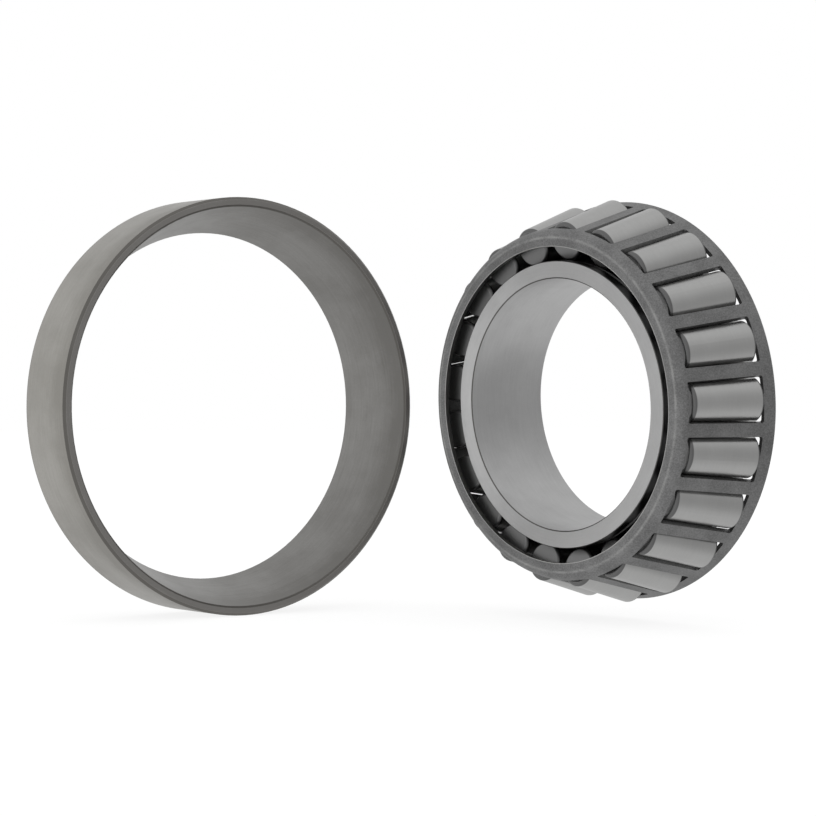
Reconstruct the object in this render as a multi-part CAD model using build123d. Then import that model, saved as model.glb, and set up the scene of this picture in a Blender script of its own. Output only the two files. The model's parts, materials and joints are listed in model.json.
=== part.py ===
from build123d import *
import os
from math import atan, cos, pi, radians, sin, sqrt, tan

# Tapered roller bearing, single row, inch series, in millimetres.
#
# The outer ring stands on the frame's origin with its axis along Y and its wide mouth facing -Y.
# The inner ring, cage and rollers are one assembly, swung out of the mouth to stand beside it.
#
# Profiles are drawn as (radius, station). Station runs along the bearing's axis from the small
# face of the inner ring, 0, towards its back face, and the races open in that direction.

# ---- boundary sizes -------------------------------------------------------------------------
BORE_D = 63.5            # shaft seat
OUTER_D = 107.95         # housing seat
INNER_W = 25.4           # inner ring width
OUTER_W = 19.05          # outer ring width
ASSEMBLED_W = 25.4       # inner back face to outer back face, rings seated
END_PLAY = 0.15          # axial freedom left when the bearing is closed

# ---- rings ----------------------------------------------------------------------------------
OUTER_RACE_ANGLE = 18.0  # half angle of the outer race, degrees
MOUTH_WALL = 2.35        # outer ring wall where the race is widest
RACE_CLEARANCE = 0.03    # between a roller and each race, measured square to the race
OUTER_MOUTH_CHAMFER = 0.7
OUTER_BACK_RADIUS = 0.7
RACE_EDGE_CHAMFER = 0.4
BORE_FRONT_CHAMFER = 0.3
BORE_BACK_CHAMFER = 0.3
FRONT_RIB_HEIGHT = 0.4   # small rib above the race
FRONT_RIB_CHAMFER = 0.2
BACK_RIB_COVER = 0.20    # share of the roller's big end that the back rib supports
BACK_RIB_CHAMFER = 0.5
RELIEF_DEPTH = 0.3       # grinding relief at the foot of each rib
RELIEF_W = 0.8

# ---- rollers --------------------------------------------------------------------------------
ROLLER_COUNT = 21
ROLLER_L = 19.6          # along the roller's own axis
ROLLER_START = 2.03      # station of the centre of the roller's small face
ROLLER_FILL = 0.8305     # share of the room between neighbouring roller axes that rollers take
ROLLER_SMALL_CORNER = 0.9
ROLLER_BIG_CORNER = 0.7
BIG_END_CROWN = 0.9      # radius of the ball-ground big end, as a share of its distance to the apex
BACK_RIB_CLEARANCE = 0.05
FRONT_RIB_CLEARANCE = 0.45

# ---- cage -----------------------------------------------------------------------------------
CAGE_WALL = 1.25         # pressed steel sheet
CAGE_SINK = 1.5          # how far the rollers stand proud of the cage at mid length
POCKET_SIDE_GAP = 0.3    # pocket edge to roller, each side, at the sheet's inner face
POCKET_FLARE = 16.0      # the pocket's sides open outwards, degrees
POCKET_END_GAP = 0.8     # pocket edge to roller, each end
POCKET_CORNER = 0.45
CAGE_RIM = 3.3           # plain band beyond the pockets, big end
CAGE_BEND = 3.0          # outer radius where the sheet turns inwards, small end
BEND_TO_POCKET = 0.1     # straight sheet between the bend and the pockets
LIP_CLEARANCE = 3.75     # lip edge to the small rib, radially
CAGE_EDGE = 0.2          # broken edges of the sheet

# ---- layout ---------------------------------------------------------------------------------
SWING = 93.0             # degrees from closed to standing beside the outer ring
PIVOT_OUT = 10.3         # swing axis to the housing seat, sideways
PIVOT_BACK = 3.78        # swing axis behind the mouth face
SWING_AXIS = (0.033, 0.011, -1.0)
FIRST_ROLLER = 9.0       # angular place of the first roller in its cage, degrees

# ---- what follows from the sizes above ---------------------------------------------------------
race_angle = radians(OUTER_RACE_ANGLE)
back_station = INNER_W - ASSEMBLED_W             # outer ring's back face
mouth_station = back_station + OUTER_W
mouth_r = OUTER_D / 2 - MOUTH_WALL
apex = mouth_station - mouth_r / tan(race_angle)  # where both races and every roller meet the axis
share = ROLLER_FILL * sin(pi / ROLLER_COUNT)     # sine of a roller's half angle over the pitch angle's
roller_angle = atan(share * sin(race_angle) / (1 + share * cos(race_angle)))  # half angle
pitch_angle = race_angle - roller_angle          # roller axis to bearing axis
inner_angle = pitch_angle - roller_angle         # half angle of the inner race
inner_small_r = (ROLLER_START - apex) * tan(inner_angle)  # inner race below a roller's small face

roller_near = (ROLLER_START - apex) / cos(pitch_angle)  # apex to the small face, along the roller
roller_far = roller_near + ROLLER_L
small_r = roller_near * tan(roller_angle) - RACE_CLEARANCE / cos(roller_angle)
big_r = roller_far * tan(roller_angle) - RACE_CLEARANCE / cos(roller_angle)

cage_height = (small_r + big_r) / 2 - CAGE_SINK  # roller axis to the cage's outer face
pocket_near = roller_near - POCKET_END_GAP
pocket_far = roller_far + POCKET_END_GAP


def station(along, height):
    """Bearing (radius, station) of a point beside a roller: along its axis, and above it."""
    return (along * sin(pitch_angle) + height * cos(pitch_angle),
            apex + along * cos(pitch_angle) - height * sin(pitch_angle))


def polygon(points):
    """Closed outline through (radius, station) points."""
    return Polyline(*[(r, 0, s) for r, s in points], close=True)


def revolved(outline, rounds=()):
    """Solid of revolution about Z, with the outline's corners rounded: (point, radius) pairs."""
    face = make_face(outline).face()
    for (r, s), radius in rounds:
        corner = min(face.vertices(), key=lambda v: (Vector(*v) - Vector(r, 0, s)).length)
        face = face.fillet_2d(radius, [corner])
    return revolve(face, Axis.Z, 360).solid()


def outer_ring():
    """Cup: housing seat outside, tapered race inside, wide mouth at the far station."""
    seat_r = OUTER_D / 2
    back_race_r = (back_station - apex) * tan(race_angle)
    edge = RACE_EDGE_CHAMFER
    points = [
        (seat_r, back_station),
        (seat_r, mouth_station - OUTER_MOUTH_CHAMFER),
        (seat_r - OUTER_MOUTH_CHAMFER, mouth_station),
        (mouth_r + edge, mouth_station),
        (mouth_r - edge * tan(race_angle), mouth_station - edge),
        (back_race_r + edge * tan(race_angle), back_station + edge),
        (back_race_r + edge, back_station),
    ]
    return revolved(polygon(points), [(points[0], OUTER_BACK_RADIUS)])


def inner_ring():
    """Cone: shaft seat, race between a small front rib and the back rib that guides the rollers."""
    bore_r = BORE_D / 2
    slope = tan(roller_angle)

    def below(along, depth=0.0):
        """Point this far below the race, under a roller station this far from the apex."""
        return station(along, -along * slope - depth)

    front_foot = roller_near - FRONT_RIB_CLEARANCE
    back_foot = roller_far + BACK_RIB_CLEARANCE
    front_r, front_s = below(front_foot, -FRONT_RIB_HEIGHT)
    back_r, back_s = station(back_foot, big_r * (2 * BACK_RIB_COVER - 1))
    points = [
        (bore_r, BORE_FRONT_CHAMFER),
        (bore_r + BORE_FRONT_CHAMFER, 0),
        (front_r - FRONT_RIB_CHAMFER, 0),
        (front_r, FRONT_RIB_CHAMFER),
        (front_r, front_s),
        below(front_foot, RELIEF_DEPTH),
        below(front_foot + RELIEF_W, RELIEF_DEPTH),
        below(front_foot + RELIEF_W + RELIEF_DEPTH),
        below(back_foot - RELIEF_W - RELIEF_DEPTH),
        below(back_foot - RELIEF_W, RELIEF_DEPTH),
        below(back_foot, RELIEF_DEPTH),
        (back_r, back_s),
        (back_r + BACK_RIB_CHAMFER, back_s + BACK_RIB_CHAMFER),
        (back_r + BACK_RIB_CHAMFER, INNER_W - BACK_RIB_CHAMFER),
        (back_r, INNER_W),
        (bore_r + BORE_BACK_CHAMFER, INNER_W),
        (bore_r, INNER_W - BORE_BACK_CHAMFER),
    ]
    return revolved(polygon(points))


def roller():
    """One tapered roller on the Z axis, its own apex at the origin and its big end crowned."""
    crown = BIG_END_CROWN * roller_far

    def big_end(radius):
        """Point of the crowned end at this distance from the roller's axis."""
        return radius, 0, roller_far - crown + sqrt(crown ** 2 - radius ** 2)

    edge = big_end(big_r)
    small_corner = (small_r, 0, roller_near)
    sides = Polyline(big_end(0), (0, 0, roller_near), small_corner, edge)
    outline = sides + ThreePointArc(edge, big_end(big_r / 2), big_end(0))
    return revolved(outline, [((small_r, roller_near), ROLLER_SMALL_CORNER),
                              ((edge[0], edge[2]), ROLLER_BIG_CORNER)])


def chord_half(along, radius):
    """Half the roller's width where the sheet's curved inner face crosses it."""
    inner_height = cage_height - CAGE_WALL
    sheet_r = station(along, inner_height)[0] / cos(pitch_angle)
    centre = sheet_r - inner_height              # roller axis to the sheet's centre of curvature
    height = (sheet_r ** 2 - radius ** 2 - centre ** 2) / (2 * centre)
    return sqrt(radius ** 2 - height ** 2)


def pocket():
    """Cutter for one pocket, in the roller's own frame: Z along the roller, X outwards."""
    inner_height = cage_height - CAGE_WALL
    near_half = chord_half(roller_near, small_r) + POCKET_SIDE_GAP
    far_half = chord_half(roller_far, big_r) + POCKET_SIDE_GAP
    slope = (far_half - near_half) / ROLLER_L
    near_half -= slope * POCKET_END_GAP
    far_half += slope * POCKET_END_GAP

    def outline(height):
        """The pocket's edge this far above the roller's axis."""
        flare = (height - inner_height) * tan(radians(POCKET_FLARE))
        near, far = near_half + flare, far_half + flare
        face = make_face(Polyline(
            (height, near, pocket_near), (height, far, pocket_far),
            (height, -far, pocket_far), (height, -near, pocket_near), close=True)).face()
        return face.fillet_2d(POCKET_CORNER, face.vertices())

    return loft([outline(inner_height - CAGE_WALL), outline(cage_height + CAGE_WALL)],
                ruled=True).solid()


def cage_shell():
    """Pressed cone with its lip turned in at the small end, before the pockets are pierced."""
    lip_r = inner_small_r + FRONT_RIB_HEIGHT + LIP_CLEARANCE
    turn = pi / 2 - pitch_angle                  # from the cone's slope to the flat lip
    bend_length = CAGE_BEND * tan(turn / 2)
    corner = station(pocket_near - BEND_TO_POCKET - bend_length, cage_height)
    far = pocket_far + CAGE_RIM
    rim_in = station(far, cage_height - CAGE_WALL)
    lip_s = corner[1] + CAGE_WALL                # inner face of the lip
    corner_in = (rim_in[0] - (rim_in[1] - lip_s) * tan(pitch_angle), lip_s)
    points = [(lip_r, corner[1]), corner, station(far, cage_height),
              rim_in, corner_in, (lip_r, lip_s)]
    rounds = [(corner, CAGE_BEND), (corner_in, CAGE_BEND - CAGE_WALL)]
    rounds += [(points[i], CAGE_EDGE) for i in (0, 2, 3, 5)]
    return revolved(polygon(points), rounds)


def roller_place(index):
    """Frame of a roller in the assembly: Z along the roller, X outwards, origin at the apex."""
    turn = radians(FIRST_ROLLER + 360 / ROLLER_COUNT * index)
    out = (cos(turn), sin(turn))
    axis = (sin(pitch_angle) * out[0], sin(pitch_angle) * out[1], cos(pitch_angle))
    outwards = (cos(pitch_angle) * out[0], cos(pitch_angle) * out[1], -sin(pitch_angle))
    return Plane(origin=(0, 0, apex), x_dir=outwards, z_dir=axis).location


# ---- placing the two assemblies ---------------------------------------------------------------
closed = Plane(origin=(0, OUTER_W / 2 + back_station, 0), x_dir=(1, 0, 0), z_dir=(0, -1, 0))
swing_point = (OUTER_D / 2 + PIVOT_OUT, PIVOT_BACK - OUTER_W / 2, 0)
swing_axis = Axis(swing_point, SWING_AXIS)


def stand_beside(shape):
    """Move a piece of the inner assembly from the closed bearing to where it stands at rest."""
    seated = closed.location * shape
    played = Pos(0, -END_PLAY, 0) * seated
    return played.rotate(swing_axis, -SWING)


def write(name, shape, color):
    """Write one sub-part to parts/ as STEP."""
    shape.label = name
    shape.color = Color(*color)
    export_step(shape, f"parts/{name}.step")


def main():
    os.makedirs("parts", exist_ok=True)
    write("outer_ring", closed.location * outer_ring(), (0.62, 0.61, 0.60))
    write("inner_ring", stand_beside(inner_ring()), (0.70, 0.70, 0.70))
    cage = cage_shell() - [roller_place(i) * pocket() for i in range(ROLLER_COUNT)]
    write("cage", stand_beside(cage.solid()), (0.36, 0.36, 0.36))
    for i in range(ROLLER_COUNT):
        write(f"roller_{i + 1:02d}", stand_beside(roller_place(i) * roller()), (0.55, 0.55, 0.55))


main()
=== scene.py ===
import json
import logging
from collections.abc import Callable, Iterable
from dataclasses import dataclass
from enum import Enum
from math import acos, cos, pi, radians, sin

import bmesh
import bpy
from mathutils import Matrix, Vector


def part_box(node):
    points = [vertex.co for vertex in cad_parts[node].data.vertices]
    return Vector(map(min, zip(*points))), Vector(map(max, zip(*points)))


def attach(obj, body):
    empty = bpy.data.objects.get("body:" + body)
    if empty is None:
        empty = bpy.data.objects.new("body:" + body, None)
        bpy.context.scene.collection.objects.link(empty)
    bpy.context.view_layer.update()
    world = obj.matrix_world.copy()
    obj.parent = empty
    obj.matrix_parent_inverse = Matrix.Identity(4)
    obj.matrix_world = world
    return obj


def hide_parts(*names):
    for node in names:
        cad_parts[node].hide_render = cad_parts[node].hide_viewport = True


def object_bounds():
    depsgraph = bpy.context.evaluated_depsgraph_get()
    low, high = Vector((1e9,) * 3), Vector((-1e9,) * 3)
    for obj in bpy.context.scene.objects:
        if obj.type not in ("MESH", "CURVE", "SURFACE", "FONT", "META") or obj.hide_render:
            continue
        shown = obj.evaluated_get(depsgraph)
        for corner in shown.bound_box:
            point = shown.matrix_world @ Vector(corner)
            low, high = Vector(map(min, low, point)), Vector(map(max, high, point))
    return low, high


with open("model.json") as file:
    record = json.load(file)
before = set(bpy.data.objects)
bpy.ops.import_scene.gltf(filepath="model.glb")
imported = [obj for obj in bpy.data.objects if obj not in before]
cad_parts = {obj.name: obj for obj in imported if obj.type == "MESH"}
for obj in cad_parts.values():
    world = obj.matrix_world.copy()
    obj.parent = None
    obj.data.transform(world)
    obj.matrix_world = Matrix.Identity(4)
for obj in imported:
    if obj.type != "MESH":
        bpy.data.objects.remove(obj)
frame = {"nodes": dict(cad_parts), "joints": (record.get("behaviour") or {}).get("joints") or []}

log = logging.getLogger("bearing")

MM = 0.001
INNER_WIDTH = 25.4           # of the inner ring, face to face, in millimetres
OUTER_WIDTH = 19.05          # of the outer ring
ROW_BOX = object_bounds()
JOINTS: dict[str, dict] = {joint["name"]: joint for joint in frame["joints"]}
Socket = bpy.types.NodeSocket


# ---- places ---------------------------------------------------------------------------------


@dataclass(frozen=True)
class Axis:
    """A turning axis with a zero direction, measured from an origin on it."""

    origin: Vector
    along: Vector
    zero: Vector

    @classmethod
    def of_joint(cls, name: str, back: float = 0.0, towards: Vector | None = None) -> "Axis":
        """Axis of one of the frame's joints.

        Args:
            name: the joint's name.
            back: how far before the joint's own point the origin lies, in millimetres.
            towards: a point in the zero direction, or None where any direction does.

        Returns:
            The axis, with its zero direction square to it.
        """
        joint = JOINTS[name]
        along = Vector(joint["axis"]).normalized()
        origin = Vector(joint["pos_m"]) - along * back * MM
        out = (towards if towards is not None else Vector((0, 0, 9))) - origin
        return cls(origin, along, (out - along * out.dot(along)).normalized())

    def frame(self) -> Matrix:
        """Places something that was made about Z on this axis.

        Returns:
            The matrix that takes Z to the axis, X to the zero direction and 0 to the origin.
        """
        side = self.along.cross(self.zero)
        columns = Matrix((self.zero, side, self.along)).transposed()
        return Matrix.Translation(self.origin) @ columns.to_4x4()


# ---- finishes -------------------------------------------------------------------------------


def tint(code: str) -> tuple[float, float, float, float]:
    """Linear colour of an sRGB hex value.

    Args:
        code: six hex digits, red first.

    Returns:
        Linear red, green, blue and alpha 1.
    """
    parts = [int(code[i:i + 2], 16) / 255 for i in (0, 2, 4)]
    linear = [p / 12.92 if p <= 0.04045 else ((p + 0.055) / 1.055) ** 2.4 for p in parts]
    return linear[0], linear[1], linear[2], 1.0


def add(tree: bpy.types.NodeTree, kind: str, links: dict, out: int | str = 0,
        **settings) -> Socket:
    """Adds one node with its settings and links.

    Args:
        tree: the node tree it goes into.
        kind: the node's type, without the word ShaderNode.
        links: input socket, by name or number, to a value or to another node's output.
        out: the output wanted, by name or number.
        **settings: the node's own properties.

    Returns:
        The output socket asked for.
    """
    node = tree.nodes.new("ShaderNode" + kind)
    for name, value in settings.items():
        setattr(node, name, value)
    for name, value in links.items():
        if isinstance(value, bpy.types.NodeSocket):
            tree.links.new(value, node.inputs[name])
        else:
            node.inputs[name].default_value = value
    return node.outputs[out]


@dataclass(frozen=True)
class Finish:
    """A metal finish whose marks run round a turning axis, with lengths in millimetres."""

    name: str
    colour: str                  # sRGB hex, as every colour here
    shade: str                   # what the marks turn or darken it to
    roughness: float

    def on(self, axis: Axis) -> bpy.types.Material:
        """Builds the material about an axis.

        Args:
            axis: the axis that the piece was turned or ground on.

        Returns:
            The finished material.
        """
        made = bpy.data.materials.new(self.name)
        made.use_nodes = True
        tree = made.node_tree
        shader = tree.nodes["Principled BSDF"]
        shader.inputs["Metallic"].default_value = 1.0
        place = add(tree, "TexCoord", {}, "Object")
        place = add(tree, "Mapping", {
            "Vector": place, "Location": axis.origin,
            "Rotation": axis.frame().to_euler(), "Scale": (MM, MM, MM)}, vector_type="TEXTURE")
        flat = add(tree, "VectorMath", {0: place, 1: (1, 1, 0)}, operation="MULTIPLY")
        radius = add(tree, "VectorMath", {0: flat}, "Value", operation="LENGTH")
        along = add(tree, "SeparateXYZ", {0: place}, 2)
        turn = add(tree, "VectorMath", {0: flat}, operation="NORMALIZE")
        colour, rough, normal = self.dress(tree, place, radius, along, turn)
        tree.links.new(colour, shader.inputs["Base Color"])
        tree.links.new(rough, shader.inputs["Roughness"])
        tree.links.new(normal, shader.inputs["Normal"])
        return made

    def dress(self, tree: bpy.types.NodeTree, place: Socket, radius: Socket, along: Socket,
              turn: Socket) -> tuple[Socket, Socket, Socket]:
        """Draws the finish; each finish has its own.

        Args:
            tree: the material's node tree.
            place: place in the axis's frame, in millimetres.
            radius: distance from the axis, in millimetres.
            along: distance along the axis, in millimetres.
            turn: unit vector outwards from the axis.

        Returns:
            The colour, roughness and normal sockets.
        """
        raise NotImplementedError

    def lay(self, tree: bpy.types.NodeTree, radius: Socket, along: Socket, turn: Socket,
            pitch: float, length: float) -> Socket:
        """Marks that run round the axis, as grinding and turning leave them.

        Args:
            tree: the material's node tree.
            radius: distance from the axis, in millimetres.
            along: distance along the axis, in millimetres.
            turn: unit vector outwards from the axis.
            pitch: spacing of the marks, in millimetres.
            length: how often a mark changes in a radian.

        Returns:
            A value about 0.5 that changes across the marks.
        """
        across = add(tree, "CombineXYZ", {0: radius, 1: along, 2: 0.0})
        across = add(tree, "VectorMath", {0: across, "Scale": 1 / pitch}, operation="SCALE")
        split = add(tree, "VectorMath", {0: turn, "Scale": length}, operation="SCALE")
        parts = [add(tree, "SeparateXYZ", {0: split}, i) for i in (0, 1)]
        lift = add(tree, "CombineXYZ", {2: parts[0]})
        across = add(tree, "VectorMath", {0: across, 1: lift}, operation="ADD")
        return add(tree, "TexNoise", {"Vector": across, "W": parts[1], "Scale": 1.0,
                                      "Detail": 2.0}, noise_dimensions="4D")


@dataclass(frozen=True)
class GroundSteel(Finish):
    """Through-hardened chrome steel ring, ground and lightly oiled.

    A satin metal: fine marks round the axis, and soft patches where the oil film is thicker. The
    turned chamfers between its ground faces keep the dark scale of hardening, so each face ends
    in a thin dark line.
    """

    width: float = INNER_WIDTH
    inner_colour: str = "C3C3C3"
    face_colour: str = "C2C2C1"
    edge_colour: str = "65615A"
    painted_mouth_shade: float = 0.0            # painted shade: how much darker it is painted by the front edge
    painted_mouth_shade_reach: float = 9.0      # how far back the painted shade fades out
    split_r: float = 34.0        # edges inside this radius are bore or race edges
    inner_edge: float = 0.55
    outer_edge: float = 0.7
    lay_pitch: float = 0.45      # real marks are 0.02 mm apart; drawn as coarse as they show
    lay_depth: float = 0.012
    lay_change: float = 5.0      # how often a mark changes in a radian
    lay_strength: float = 0.5
    patch: float = 14.0          # size of the oil film's patches
    patch_strength: float = 0.28
    speck: float = 0.6           # size of the handling marks
    speck_strength: float = 0.25

    def dress(self, tree: bpy.types.NodeTree, place: Socket, radius: Socket, along: Socket,
              turn: Socket) -> tuple[Socket, Socket, Socket]:
        """Draws the fine lay, the oil patches, the handling marks, the dark chamfers and the
        painted shade by the front edge.

        Args:
            tree: the material's node tree.
            place: place in the axis's frame, in millimetres.
            radius: distance from the axis, in millimetres.
            along: distance along the axis, in millimetres.
            turn: unit vector outwards from the axis.

        Returns:
            The colour, roughness and normal sockets.
        """
        lay = self.lay(tree, radius, along, turn, self.lay_pitch, self.lay_change)
        patch = add(tree, "TexNoise", {"Vector": place, "Scale": 1 / self.patch, "Detail": 3.0,
                                       "Roughness": 0.6})
        patch = add(tree, "MapRange", {0: patch, 1: 0.35, 2: 0.68},
                    interpolation_type="SMOOTHSTEP")
        speck = add(tree, "TexNoise", {"Vector": place, "Scale": 1 / self.speck, "Detail": 2.0})
        mottle = add(tree, "Math", {0: patch, 1: self.patch_strength}, operation="MULTIPLY")
        mottle = add(tree, "Math", {0: lay, 1: self.lay_strength, 2: mottle},
                     operation="MULTIPLY_ADD")
        mottle = add(tree, "Math", {0: speck, 1: self.speck_strength, 2: mottle},
                     operation="MULTIPLY_ADD", use_clamp=True)
        # how far inside the nearer face a place is, and whether that is a chamfer or the face
        far = add(tree, "Math", {0: self.width, 1: along}, operation="SUBTRACT")
        depth = add(tree, "Math", {0: along, 1: far}, operation="MINIMUM")
        limit = add(tree, "MapRange", {0: radius, 1: self.split_r - 0.1, 2: self.split_r + 0.1,
                                       3: self.inner_edge, 4: self.outer_edge})
        inside = add(tree, "Math", {0: limit, 1: depth}, operation="SUBTRACT")
        edge = add(tree, "MapRange", {0: inside, 1: -0.02, 2: 0.06})
        face = add(tree, "MapRange", {0: depth, 1: 0.05, 2: 0.02})
        inner = add(tree, "MapRange", {0: radius, 1: self.split_r + 0.1, 2: self.split_r - 0.1})
        # painted shade: the colour is darkened towards the front edge, on top of the real marks
        painted_mouth_shade = add(tree, "MapRange", {0: along, 1: self.painted_mouth_shade_reach, 2: 0.5, 3: 0.0,
                                      4: self.painted_mouth_shade}, interpolation_type="SMOOTHSTEP")
        marks_and_painted_shade = add(tree, "Math", {0: mottle, 1: painted_mouth_shade}, operation="ADD", use_clamp=True)
        colour = add(tree, "Mix", {0: inner, 6: tint(self.colour), 7: tint(self.inner_colour)}, 2,
                     data_type="RGBA")
        flat = add(tree, "Mix", {0: face, 6: tint(self.edge_colour), 7: tint(self.face_colour)}, 2,
                   data_type="RGBA")
        colour = add(tree, "Mix", {0: edge, 6: colour, 7: flat}, 2, data_type="RGBA")
        colour = add(tree, "Mix", {0: marks_and_painted_shade, 6: colour, 7: tint(self.shade)}, 2, data_type="RGBA",
                     blend_type="MULTIPLY")
        rough = add(tree, "MapRange", {0: mottle, 1: 0.0, 2: 1.0, 3: self.roughness - 0.03,
                                       4: self.roughness + 0.09})
        normal = add(tree, "Bump", {"Height": lay, "Distance": self.lay_depth * MM})
        return colour, rough, normal


@dataclass(frozen=True)
class RollerSteel(Finish):
    """Chrome steel roller, ground and honed on its cone, rumbled dull at its corners.

    The cone is smooth and bright, the corners and the small end are darker and duller, so the
    ends read as separate surfaces.
    """

    half: float = 9.8            # half the roller's length
    small_corner: float = 0.9
    big_corner: float = 0.7
    corner_colour: str = "727272"
    end_colour: str = "8C8C8C"   # the small end
    dulling: float = 0.08        # how much rougher the corners and ends are
    lay_pitch: float = 0.5       # real marks are 0.01 mm apart; drawn as coarse as they show
    lay_depth: float = 0.006
    lay_change: float = 1.5      # how often a mark changes in a radian
    patch: float = 5.0           # size of the oil film's patches

    def dress(self, tree: bpy.types.NodeTree, place: Socket, radius: Socket, along: Socket,
              turn: Socket) -> tuple[Socket, Socket, Socket]:
        """Draws the honed cone, the dull corners and the small end.

        Args:
            tree: the material's node tree.
            place: place in the axis's frame, in millimetres.
            radius: distance from the axis, in millimetres.
            along: distance along the axis, in millimetres.
            turn: unit vector outwards from the axis.

        Returns:
            The colour, roughness and normal sockets.
        """
        lay = self.lay(tree, radius, along, turn, self.lay_pitch, self.lay_change)
        patch = add(tree, "TexNoise", {"Vector": place, "Scale": 1 / self.patch, "Detail": 2.0})
        mottle = add(tree, "Math", {0: lay, 1: 0.5}, operation="MULTIPLY")
        mottle = add(tree, "Math", {0: patch, 1: 0.5, 2: mottle}, operation="MULTIPLY_ADD")
        colour = add(tree, "Mix", {0: mottle, 6: tint(self.colour), 7: tint(self.shade)}, 2,
                     data_type="RGBA")
        near = self.small_corner - self.half
        small = add(tree, "MapRange", {0: along, 1: near + 0.08, 2: near - 0.12},
                    interpolation_type="SMOOTHSTEP")
        far = self.half - self.big_corner
        big = add(tree, "MapRange", {0: along, 1: far - 0.08, 2: far + 0.12},
                  interpolation_type="SMOOTHSTEP")
        corner = add(tree, "Math", {0: small, 1: big}, operation="MAXIMUM")
        colour = add(tree, "Mix", {0: corner, 6: colour, 7: tint(self.corner_colour)}, 2,
                     data_type="RGBA")
        face = add(tree, "MapRange", {0: along, 1: 0.03 - self.half, 2: 0.01 - self.half})
        colour = add(tree, "Mix", {0: face, 6: colour, 7: tint(self.end_colour)}, 2,
                     data_type="RGBA")
        rough = add(tree, "MapRange", {0: corner, 3: self.roughness,
                                       4: self.roughness + self.dulling})
        normal = add(tree, "Bump", {"Height": lay, "Distance": self.lay_depth * MM,
                                    "Strength": 1.0})
        return colour, rough, normal


@dataclass(frozen=True)
class PhosphatedSheet(Finish):
    """Pressed steel sheet with a dark phosphate coat.

    A dull charcoal metal with a fine sandy grain, and a painted highlight along the lip's edge
    and on the crest of its bend.
    """

    grain: float = 0.4           # phosphate crystals are 0.02 mm; drawn as coarse as they show
    grain_depth: float = 0.02
    patch: float = 6.0           # size of the coat's lighter and darker areas
    painted_highlight: str = "C4C4C2"
    shine: float = 0.15          # how much smoother the painted highlight lines are
    lip_r: float = 39.73
    edge_width: float = 0.25     # of the painted highlight along the lip
    crest_r: float = 42.0        # where the painted highlight runs on the bend
    crest_width: float = 0.55
    crest_end: float = -1.6      # station behind which the bend has no painted highlight
    highlight_gaps: float = 4.0            # size of the gaps in the painted highlight line

    def dress(self, tree: bpy.types.NodeTree, place: Socket, radius: Socket, along: Socket,
              turn: Socket) -> tuple[Socket, Socket, Socket]:
        """Draws the sandy grain and the painted highlight lines.

        Args:
            tree: the material's node tree.
            place: place in the axis's frame, in millimetres.
            radius: distance from the axis, in millimetres.
            along: distance along the axis, in millimetres.
            turn: unit vector outwards from the axis.

        Returns:
            The colour, roughness and normal sockets.
        """
        grain = add(tree, "TexNoise", {"Vector": place, "Scale": 1 / self.grain, "Detail": 3.0,
                                       "Roughness": 0.65})
        patch = add(tree, "TexNoise", {"Vector": place, "Scale": 1 / self.patch, "Detail": 3.0})
        mottle = add(tree, "Math", {0: grain, 1: 0.65}, operation="MULTIPLY")
        mottle = add(tree, "Math", {0: patch, 1: 0.35, 2: mottle}, operation="MULTIPLY_ADD")
        mottle = add(tree, "MapRange", {0: mottle, 1: 0.38, 2: 0.62})
        colour = add(tree, "Mix", {0: mottle, 6: tint(self.colour), 7: tint(self.shade)}, 2,
                     data_type="RGBA")
        # painted highlight: a light line along the lip's edge and a broken one on the crest of the
        # bend
        edge = add(tree, "MapRange", {0: radius, 1: self.lip_r + self.edge_width,
                                      2: self.lip_r + 0.05}, interpolation_type="SMOOTHSTEP")
        broken = add(tree, "TexNoise", {"Vector": place, "Scale": 1 / self.highlight_gaps, "Detail": 4.0,
                                        "Roughness": 0.7})
        broken = add(tree, "MapRange", {0: broken, 1: 0.4, 2: 0.62, 3: 0.1, 4: 0.4})
        off = add(tree, "Math", {0: radius, 1: self.crest_r}, operation="SUBTRACT")
        off = add(tree, "Math", {0: off}, operation="ABSOLUTE")
        crest = add(tree, "MapRange", {0: off, 1: self.crest_width, 2: 0.0},
                    interpolation_type="SMOOTHSTEP")
        front = add(tree, "MapRange", {0: along, 1: self.crest_end + 0.4, 2: self.crest_end})
        crest = add(tree, "Math", {0: crest, 1: front}, operation="MULTIPLY")
        crest = add(tree, "Math", {0: crest, 1: broken}, operation="MULTIPLY")
        painted_highlight_mask = add(tree, "Math", {0: edge, 1: crest}, operation="MAXIMUM")
        colour = add(tree, "Mix", {0: painted_highlight_mask, 6: colour, 7: tint(self.painted_highlight)}, 2,
                     data_type="RGBA")
        rough = add(tree, "MapRange", {0: painted_highlight_mask, 3: self.roughness,
                                       4: self.roughness - self.shine})
        normal = add(tree, "Bump", {"Height": grain, "Distance": self.grain_depth * MM})
        return colour, rough, normal


# ---- modelling ------------------------------------------------------------------------------


class Part(Enum):
    """What a selection in edit mode picks."""

    POINTS = "VERT"
    EDGES = "EDGE"
    FACES = "FACE"


def start(name: str) -> bpy.types.Object:
    """Deselects everything and starts a new mesh as one point at the origin, in edit mode.

    Args:
        name: the new object's name.

    Returns:
        The new object.
    """
    bpy.ops.object.select_all(action="DESELECT")
    bpy.ops.mesh.primitive_plane_add(size=MM)
    made = bpy.context.object
    made.name = made.data.name = name
    bpy.ops.object.mode_set(mode="EDIT")
    bpy.ops.mesh.select_all(action="SELECT")
    bpy.ops.mesh.merge(type="CENTER")
    return made


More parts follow.
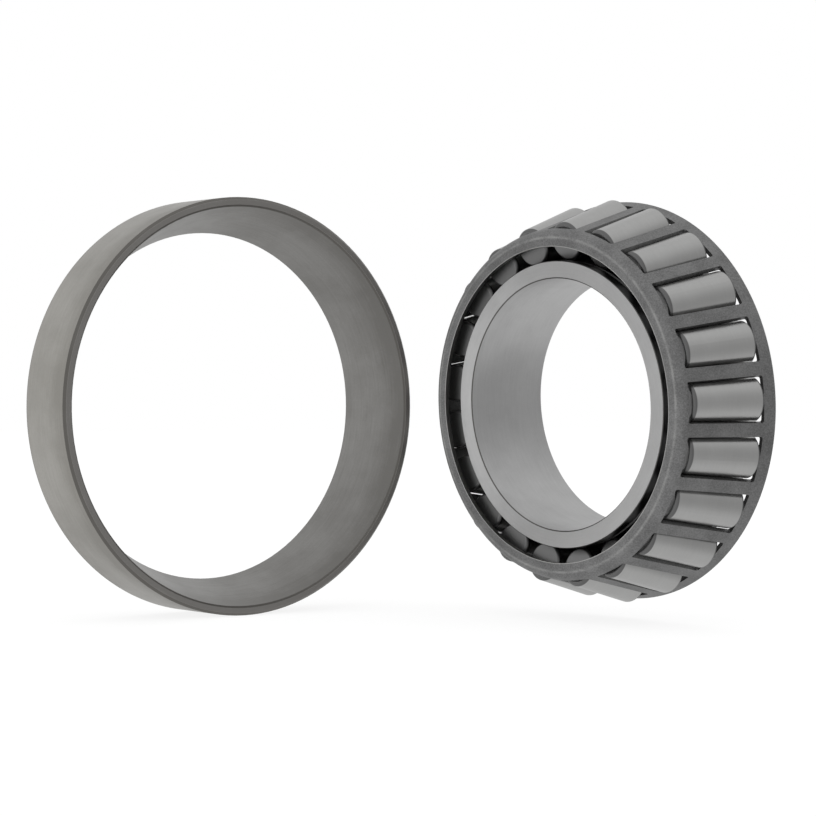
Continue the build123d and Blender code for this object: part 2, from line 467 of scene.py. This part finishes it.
def pick(made: bpy.types.Object, part: Part, test: Callable[[Vector], bool]) -> int:
    """Selects what passes a test of its place, in edit mode.

    Args:
        made: the object being edited.
        part: whether points, edges or faces are picked.
        test: says whether a point, an edge's middle or a face's middle is wanted.

    Returns:
        How many were picked.
    """
    bpy.ops.mesh.select_all(action="DESELECT")
    bpy.context.tool_settings.mesh_select_mode = tuple(part is p for p in Part)
    mesh = bmesh.from_edit_mesh(made.data)
    if part is Part.POINTS:
        chosen = [v for v in mesh.verts if test(v.co)]
    elif part is Part.EDGES:
        chosen = [e for e in mesh.edges if test((e.verts[0].co + e.verts[1].co) / 2)]
    else:
        chosen = [f for f in mesh.faces if test(f.calc_center_median())]
    for item in chosen:
        item.select = True
    mesh.select_flush_mode()
    bmesh.update_edit_mesh(made.data)
    return len(chosen)


def extrude(move: Iterable[float]) -> None:
    """Extrudes the selection.

    Args:
        move: the move along X, Y and Z, in millimetres.
    """
    value = tuple(part * MM for part in move)
    bpy.ops.mesh.extrude_region_move(TRANSFORM_OT_translate={"value": value})


def spin(steps: int, turn: float, centre: tuple[float, float, float],
         axis: tuple[float, float, float], copies: bool = False) -> None:
    """Spins the selection.

    Args:
        steps: how many steps.
        turn: the whole turn, in degrees, right-handed about the axis.
        centre: a point on the axis, in millimetres.
        axis: the axis's direction.
        copies: True to leave separate copies instead of a swept surface.
    """
    bpy.ops.mesh.spin(steps=steps, angle=-radians(turn), dupli=copies,
                      center=tuple(part * MM for part in centre), axis=axis)


def apply_modifier(made: bpy.types.Object, kind: str, **settings) -> None:
    """Adds a modifier, sets it up and applies it.

    Args:
        made: the object, which is the active one.
        kind: the modifier's type.
        **settings: the modifier's properties.
    """
    modifier = made.modifiers.new(kind.title(), kind)
    for name, value in settings.items():
        setattr(modifier, name, value)
    bpy.ops.object.modifier_apply(modifier=modifier.name)


def turn_of(point: Vector) -> float:
    """Angle of a point about Z, from X.

    Args:
        point: the point.

    Returns:
        The angle in degrees, from -180 to 180.
    """
    out = Vector((point.x, point.y))
    angle = acos(max(-1.0, min(1.0, out.normalized().x))) * 180 / pi
    return angle if point.y >= 0 else -angle


# ---- pieces ---------------------------------------------------------------------------------


@dataclass
class Ring:
    """A bearing ring that keeps its CAD shape and gets its finish."""

    node: str
    axis: Axis
    finish: Finish

    def dress(self) -> None:
        """Gives the node its finish."""
        frame["nodes"][self.node].material_slots[0].material = self.finish.on(self.axis)
        log.info("%s: %s", self.node, self.finish.name)


@dataclass
class RollerRow:
    """The rollers, which keep their CAD shape; each has its own material about its own axis."""

    finish: RollerSteel

    def names(self) -> list[str]:
        """Node names of the rollers, in order."""
        return sorted(name for name in frame["nodes"] if name.startswith("roller_"))

    def dress(self) -> None:
        """Gives every roller its finish."""
        for name in self.names():
            axis = Axis.of_joint(f"{name}_spin")
            frame["nodes"][name].material_slots[0].material = self.finish.on(axis)
        log.info("rollers: %d dressed", len(self.names()))


@dataclass
class Cage:
    """Pressed cage: a cone of sheet with a lip turned in, a bend, pierced pockets and a rim.

    The profile is the sheet's outer face, as (radius, station) in millimetres.
    """

    axis: Axis
    finish: Finish
    bays: int
    wall: float = 1.25
    lip_r: float = 39.7316
    lip_station: float = -2.0717
    bend_r: float = 3.0
    slope: float = 16.0400           # the cone's angle to the axis, degrees
    bend_end: tuple[float, float] = (44.2445, 0.0994)
    pocket_start: tuple[float, float] = (44.2722, 0.1955)
    pocket_end: tuple[float, float] = (50.1299, 20.5701)
    rim_end: tuple[float, float] = (51.0417, 23.7417)
    pocket_half: float = 6.520       # half a pocket's width, as degrees about the axis
    pocket_taper: float = 0.095      # how much less at its small end, and more at its big end
    pocket_draw: float = 0.27        # how much less on the sheet's inner face
    corner: float = 0.45             # radius of a pocket's corners
    edge: float = 0.14               # bevel along the sheet's sheared edges
    bend_steps: int = 8
    pocket_steps: int = 8

    def bend_start(self) -> float:
        """Radius where the flat lip meets the bend."""
        return self.bend_end[0] - self.bend_r * cos(radians(self.slope))

    def profile(self) -> None:
        """Draws the sheet's outer face as a line of points, from the lip's edge to the rim."""
        bpy.ops.transform.translate(value=(self.lip_r * MM, 0, self.lip_station * MM))
        bpy.ops.mesh.select_all(action="SELECT")
        extrude((self.bend_start() - self.lip_r, 0, 0))
        centre = (self.bend_start(), 0, self.lip_station + self.bend_r)
        spin(self.bend_steps, 90 - self.slope, centre, (0, -1, 0))
        here = self.bend_end
        for there in (self.pocket_start, self.pocket_end, self.rim_end):
            extrude((there[0] - here[0], 0, there[1] - here[1]))
            here = there

    def off_bay(self, point: Vector) -> float:
        """Angle of a point from the middle of its bay, in degrees."""
        bay = 360 / self.bays
        return (turn_of(point) + bay / 2) % bay - bay / 2

    def in_pocket(self, point: Vector) -> bool:
        """Whether a place on the sheet is inside the pocket of the first bay."""
        low, high = self.pocket_start[1] * MM, self.pocket_end[1] * MM
        return low < point.z < high and abs(turn_of(point)) < self.pocket_half

    def on_corner(self, point: Vector) -> bool:
        """Whether an edge lies on a pocket's corner, through the sheet.

        Args:
            point: the edge's middle.

        Returns:
            True where it does.
        """
        # half the sheet's thickness inwards from the outer face
        ends = [end[1] + self.wall / 2 * sin(radians(self.slope))
                for end in (self.pocket_start, self.pocket_end)]
        return (abs(abs(self.off_bay(point)) - self.pocket_half) < 0.5
                and any(abs(point.z / MM - end) < 0.12 for end in ends))

    def on_wall(self, point: Vector, side: int) -> bool:
        """Whether a point is a corner of a pocket, on one of its two long walls.

        Args:
            point: the point.
            side: -1 for the wall before the pocket's middle, 1 for the one after it.

        Returns:
            True where it is.
        """
        low, high = self.pocket_start[1], self.pocket_end[1]
        return (abs(self.off_bay(point) - side * self.pocket_half) < 0.2
                and low - 0.1 < point.z / MM < high + 0.6)

    def near(self, point: Vector) -> bool:
        """Whether a point is in the pockets' smaller half."""
        return point.z / MM < (self.pocket_start[1] + self.pocket_end[1]) / 2

    def far(self, point: Vector) -> bool:
        """Whether a point is in the pockets' larger half."""
        return not self.near(point)

    def inner(self, point: Vector) -> bool:
        """Whether a point of the cone is on the sheet's inner face.

        Args:
            point: the point.

        Returns:
            True where it is.
        """
        out = Vector((point.x, point.y)).length / MM - self.pocket_start[0]
        up = point.z / MM - self.pocket_start[1]
        depth = up * sin(radians(self.slope)) - out * cos(radians(self.slope))
        return depth > self.wall / 2

    def turn_wall(self, made: bpy.types.Object, side: int, part: Callable[[Vector], bool],
                  widen: float) -> None:
        """Turns part of the same wall of every pocket about the axis.

        Args:
            made: the cage, in edit mode.
            side: which wall, as in on_wall.
            part: says which of the wall's corners turn.
            widen: how far they move away from the pocket's middle, in degrees.
        """
        pick(made, Part.POINTS, lambda point: self.on_wall(point, side) and part(point))
        # with no window, a positive turn is clockwise
        bpy.ops.transform.rotate(value=radians(-side * widen), orient_axis="Z",
                                 center_override=(0, 0, 0))

    def draw_pockets(self, made: bpy.types.Object) -> None:
        """Widens each pocket towards its big end and towards the sheet's outer face.

        Args:
            made: the cage, in edit mode.
        """
        for side in (-1, 1):
            self.turn_wall(made, side, self.near, -self.pocket_taper)
            self.turn_wall(made, side, self.far, self.pocket_taper)
            self.turn_wall(made, side, self.inner, -self.pocket_draw)

    def sheet(self) -> bpy.types.Object:
        """Makes one bay of the sheet with its pocket, then the whole round of bays.

        Returns:
            The sheet's outer face, in edit mode.
        """
        made = start("cage_sheet")
        self.profile()
        bay = 360 / self.bays
        bpy.ops.mesh.select_all(action="SELECT")
        bpy.ops.transform.rotate(value=radians(bay / 2), orient_axis="Z",
                                 center_override=(0, 0, 0))
        # the line now stands half a bay to one side, and the bay is spun towards the other
        start_turn = turn_of(next(iter(bmesh.from_edit_mesh(made.data).verts)).co)
        way = 1 if start_turn < 0 else -1
        bar = (bay - 2 * self.pocket_half) / 2
        for steps, turn in ((1, bar), (self.pocket_steps, 2 * self.pocket_half), (1, bar)):
            spin(steps, way * turn, (0, 0, 0), (0, 0, 1))
        pick(made, Part.FACES, self.in_pocket)
        bpy.ops.mesh.delete(type="FACE")
        bpy.ops.mesh.select_all(action="SELECT")
        spin(self.bays - 1, 360 - bay, (0, 0, 0), (0, 0, 1), copies=True)
        bpy.ops.mesh.select_all(action="SELECT")
        bpy.ops.mesh.remove_doubles(threshold=0.01 * MM)
        bpy.ops.mesh.normals_make_consistent(inside=False)
        return made

    def build(self) -> bpy.types.Object:
        """Makes the whole cage and puts it in its place.

        Returns:
            The finished piece.
        """
        made = self.sheet()
        bpy.ops.object.mode_set(mode="OBJECT")
        apply_modifier(made, "SOLIDIFY", thickness=self.wall * MM, offset=-1.0,
                       use_even_offset=True)
        bpy.ops.object.mode_set(mode="EDIT")
        self.draw_pockets(made)
        count = pick(made, Part.EDGES, self.on_corner)
        log.info("cage: %d pocket corners rounded", count)
        bpy.ops.mesh.bevel(offset=self.corner * MM, segments=3, affect="EDGES")
        bpy.ops.object.mode_set(mode="OBJECT")
        apply_modifier(made, "BEVEL", width=self.edge * MM, segments=2, limit_method="ANGLE",
                       angle_limit=radians(40))
        bpy.ops.object.shade_smooth()
        apply_modifier(made, "WEIGHTED_NORMAL", keep_sharp=True, weight=60)
        made.matrix_world = self.axis.frame()
        bpy.ops.object.transform_apply(location=True, rotation=True, scale=True)
        made.data.materials.append(self.finish.on(self.axis))
        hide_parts("cage")
        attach(made, "cage")
        log.info("cage: %d faces", len(made.data.polygons))
        return made


# ---- studio ---------------------------------------------------------------------------------


@dataclass(frozen=True)
class Shade:
    """A soft grey area of the light tent.

    Args:
        towards: direction of its middle from the object.
        depth: how much darker than the tent it is in its middle.
        reach: half its width, in degrees.
    """

    towards: tuple[float, float, float]
    depth: float
    reach: float


@dataclass
class Studio:
    """Pale floor, a white light tent with soft grey areas, a softbox overhead and the camera."""

    floor_z: float
    floor_grey: float = 0.2          # what the floor gives back of the light on it
    floor_glow: float = 0.84         # and what it glows, so that it stays nearly white
    tent_r: float = 3.0
    white: float = 0.72              # the tent's own brightness
    lamp_watts: float = 0.2
    lamp_width: float = 1.2
    lamp_place: tuple[float, float, float] = (0.0, -0.2, 1.6)
    lens: float = 105.88             # the camera's, in millimetres on a 36 mm sensor
    stand: tuple[float, float, float] = (-0.34871, -0.52275, 0.00353)
    ahead: tuple[float, float, float] = (0.61607, 0.78767, -0.00605)
    right: tuple[float, float, float] = (0.78769, -0.61606, 0.00473)
    shades: tuple[Shade, ...] = (
        Shade((0.75, -0.66, 0.0), 0.20, 50.0),
        Shade((0.0, -1.0, 0.0), 0.13, 70.0),
        Shade((-0.69, 0.72, 0.0), -0.12, 60.0),
    )

    def emitter(self, name: str) -> bpy.types.Material:
        """The tent's material: a white glow less the soft grey areas.

        Args:
            name: the material's name.

        Returns:
            The material.
        """
        made = bpy.data.materials.new(name)
        made.use_nodes = True
        tree = made.node_tree
        shader = tree.nodes["Principled BSDF"]
        shader.inputs["Base Color"].default_value = (0, 0, 0, 1)
        shader.inputs["Specular IOR Level"].default_value = 0.0
        shader.inputs["Emission Color"].default_value = (1, 1, 1, 1)
        place = add(tree, "TexCoord", {}, "Object")
        place = add(tree, "VectorMath", {0: place}, operation="NORMALIZE")
        glow: Socket | float = self.white
        for shade in self.shades:
            facing = add(tree, "VectorMath", {0: place, 1: Vector(shade.towards).normalized()},
                         "Value", operation="DOT_PRODUCT")
            depth = add(tree, "MapRange", {0: facing, 1: cos(radians(shade.reach)), 2: 1.0, 3: 0.0,
                                           4: shade.depth}, interpolation_type="SMOOTHSTEP")
            glow = add(tree, "Math", {0: glow, 1: depth}, operation="SUBTRACT")
        tree.links.new(glow, shader.inputs["Emission Strength"])
        return made

    def tent(self) -> None:
        """Makes the tent, which shows only as a reflection in the metal."""
        bpy.ops.object.select_all(action="DESELECT")
        bpy.ops.mesh.primitive_uv_sphere_add(segments=48, ring_count=24, radius=self.tent_r)
        made = bpy.context.object
        made.name = "light_tent"
        bpy.ops.object.shade_smooth()
        made.data.materials.append(self.emitter("tent_cloth"))
        made.visible_camera = made.visible_diffuse = made.visible_shadow = False

    def floor(self) -> None:
        """Makes the plain pale floor, which doesn't show in the metal."""
        bpy.ops.object.select_all(action="DESELECT")
        bpy.ops.mesh.primitive_plane_add(size=5, location=(0, 0, self.floor_z))
        made = bpy.context.object
        made.name = "floor"
        made.visible_glossy = False
        paper = bpy.data.materials.new("white_paper")
        paper.use_nodes = True
        shader = paper.node_tree.nodes["Principled BSDF"]
        shader.inputs["Base Color"].default_value = (*[self.floor_grey] * 3, 1)
        shader.inputs["Roughness"].default_value = 1.0
        shader.inputs["Specular IOR Level"].default_value = 0.0
        shader.inputs["Emission Color"].default_value = (1, 1, 1, 1)
        shader.inputs["Emission Strength"].default_value = self.floor_glow
        made.data.materials.append(paper)

    def light(self) -> None:
        """Makes the white surroundings and a large softbox overhead."""
        world = bpy.data.worlds.new("white_room")
        world.use_nodes = True
        world.node_tree.nodes["Background"].inputs[0].default_value = (1, 1, 1, 1)
        world.cycles.sampling_method = "NONE"
        bpy.context.scene.world = world
        lamp = bpy.data.lights.new("softbox", "AREA")
        lamp.shape, lamp.size = "DISK", self.lamp_width
        lamp.energy = self.lamp_watts
        made = bpy.data.objects.new("softbox", lamp)
        made.location = self.lamp_place
        made.visible_camera = False
        bpy.context.scene.collection.objects.link(made)

    def camera(self) -> None:
        """Makes the camera and gives it to the scene."""
        data = bpy.data.cameras.new("camera")
        data.lens, data.sensor_width, data.clip_start = self.lens, 36.0, 0.01
        made = bpy.data.objects.new("camera", data)
        ahead, right = Vector(self.ahead), Vector(self.right)
        turned = Matrix((right, right.cross(ahead), -ahead)).transposed().to_4x4()
        made.matrix_world = Matrix.Translation(self.stand) @ turned
        bpy.context.scene.collection.objects.link(made)
        bpy.context.scene.camera = made

    def build(self) -> None:
        """Sets up the whole studio."""
        self.floor()
        self.tent()
        self.light()
        self.camera()
        bpy.context.scene.view_settings.view_transform = "Standard"
        log.info("studio: floor at %.1f mm", self.floor_z / MM)


def main() -> None:
    """Builds and dresses the bearing's pieces in order, then the studio."""
    logging.basicConfig(level=logging.INFO, format="%(message)s")
    low, high = (Vector(corner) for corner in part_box("outer_ring"))
    mouth = Vector(((low.x + high.x) / 2, low.y, (low.z + high.z) / 2))
    cup = Axis(mouth, Vector((0, 1, 0)), Vector((0, 0, 1)))
    cone = Axis.of_joint("inner_ring_spin", back=INNER_WIDTH / 2,
                         towards=Vector(JOINTS["roller_01_spin"]["pos_m"]))
    # the race and the chamfers are darker than the ground outside, and a painted shade darkens it
    # towards the front edge
    Ring("outer_ring", cup, GroundSteel(
        "ground_chrome_steel_outer", "B7B5B0", "D4D3D1", 0.34, width=OUTER_WIDTH,
        inner_colour="A09F9D", face_colour="BEBCBA", edge_colour="8B8986", painted_mouth_shade=0.55,
        split_r=52.6, inner_edge=0.4, outer_edge=0.7)).dress()
    # the race and the ribs' outsides, under the cage, are coloured dark: painted shade from the
    # cage, with dark turned scale on the ribs' outsides
    Ring("inner_ring", cone, GroundSteel(
        "ground_chrome_steel_inner", "747474", "E3E3E3", 0.32, inner_colour="C9C9C9",
        face_colour="CFCFCF", edge_colour="6E6D6B", inner_edge=0.3, outer_edge=0.2)).dress()
    rollers = RollerRow(RollerSteel("honed_chrome_steel_roller", "C0C0BF", "B0B0AF", 0.3))
    rollers.dress()
    Cage(cone, PhosphatedSheet("phosphated_pressed_steel", "949494", "757575", 0.48),
         len(rollers.names())).build()
    Studio(ROW_BOX[0].z).build()


if __name__ == "__main__":
    main()
